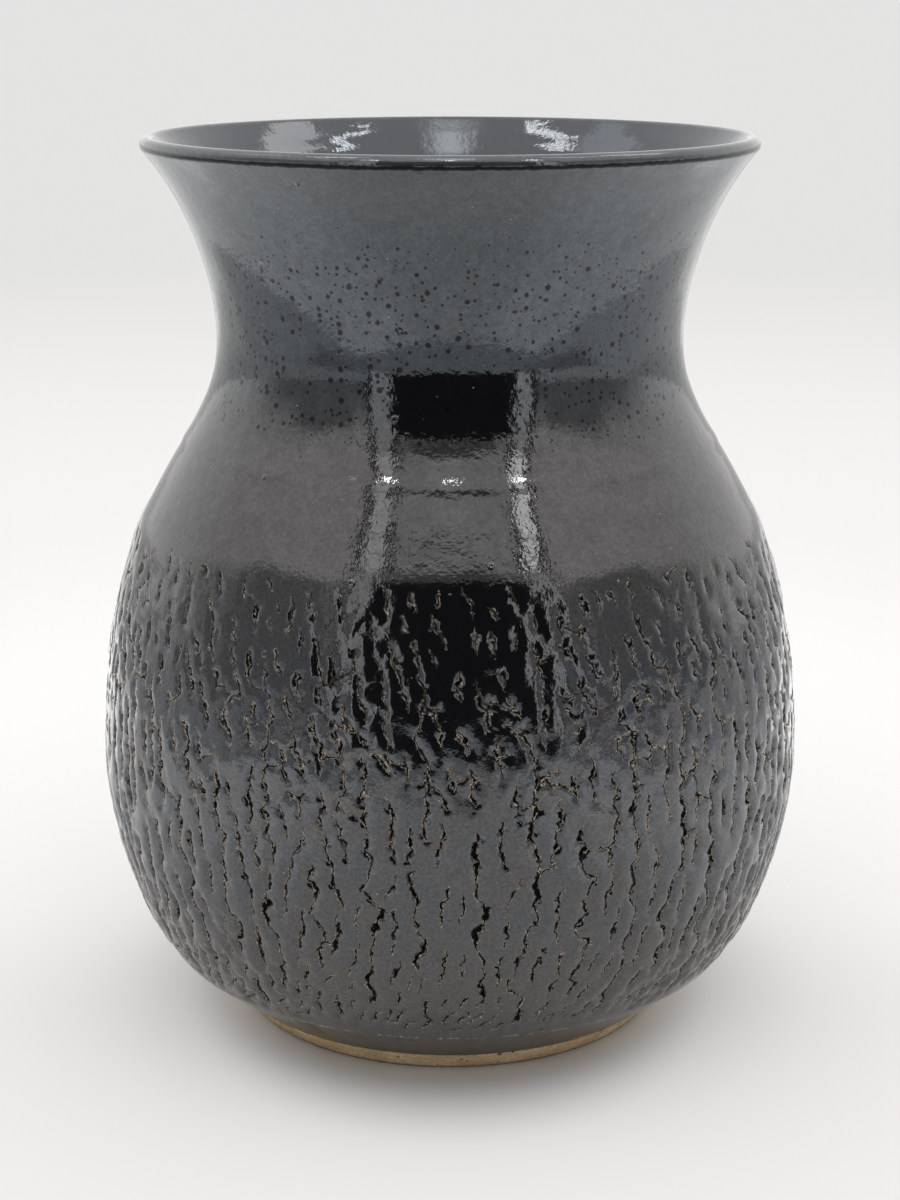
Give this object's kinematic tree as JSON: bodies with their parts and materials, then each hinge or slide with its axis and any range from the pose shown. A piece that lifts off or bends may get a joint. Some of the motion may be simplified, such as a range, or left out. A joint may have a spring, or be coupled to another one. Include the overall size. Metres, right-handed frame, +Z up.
{
  "type": "textured vase",
  "caption": "Round stoneware vase with a flared lip, a narrow neck and a full belly of torn, crackled clay skin under a dark glossy glaze, standing on a bare turned foot.",
  "frame": {"origin": "centre of the foot, on the surface that the vase stands on", "axes": "+Z up along the vase's axis of revolution; +Y away from the picture's viewer, +X to the viewer's right"},
  "size_m": [0.1522, 0.1522, 0.19],
  "materials": {
    "clay": "bare fired stoneware, tan with dark iron specks, matt and slightly gritty",
    "skin": "hard torn clay skin, brown at the edges of the tears",
    "belly_glaze": "glossy near-black glaze that breaks to brown along the tears",
    "neck_glaze": "glossy charcoal glaze with dark iron specks",
    "liner_glaze": "glossy charcoal glaze poured inside"
  },
  "bodies": {
    "root": {"clay_body": "clay", "crackle_skin": "skin", "belly_glaze": "belly_glaze", "neck_glaze": "neck_glaze", "liner_glaze": "liner_glaze"}
  },
  "joints": []
}
